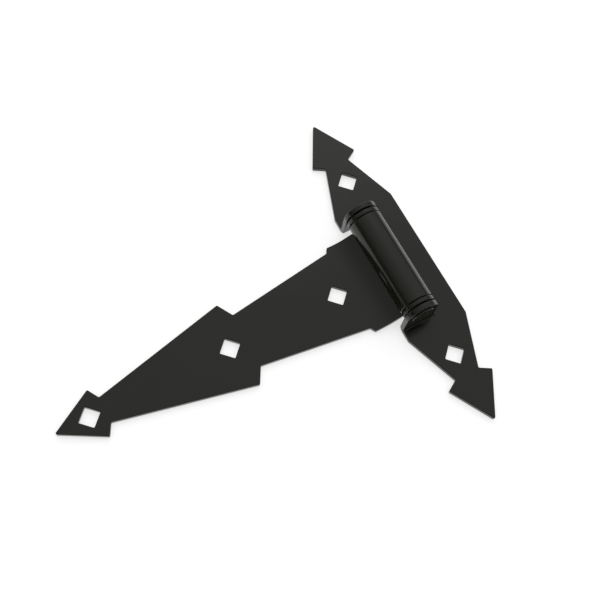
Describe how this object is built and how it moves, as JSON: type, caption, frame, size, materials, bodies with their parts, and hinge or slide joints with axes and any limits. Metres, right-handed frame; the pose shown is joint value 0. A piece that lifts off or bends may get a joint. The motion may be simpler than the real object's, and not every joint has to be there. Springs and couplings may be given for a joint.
{
  "type": "t hinge",
  "caption": "Arrow-ended gate hinge: a long strap leaf rolled round a riveted pin, which two bent-up ears of a cross-wise butt leaf hold; square bolt holes, black coat.",
  "frame": {"origin": "middle of the butt leaf's web, on its back", "axes": "+X away from the strap's tip, +Y along the pin, +Z the front; both leaves' backs lie on z = 0"},
  "size_m": [0.2287, 0.2016, 0.0269],
  "materials": {
    "butt_leaf": "satin black powder coat",
    "strap_leaf": "satin black powder coat",
    "hinge_pin": "satin black coat over the riveted ends",
    "washer": "satin black coat"
  },
  "bodies": {
    "butt": {"butt_leaf": "butt_leaf", "hinge_pin": "hinge_pin", "upper_washer": "washer", "lower_washer": "washer"},
    "strap": {"strap_leaf": "strap_leaf"}
  },
  "joints": [
    {"name": "strap_swing", "type": "hinge", "parent": "butt", "child": "strap", "pos_m": [-0.01915, 0, 0.017], "axis": [0, 1, 0], "range_deg": [-65, 220]}
  ]
}
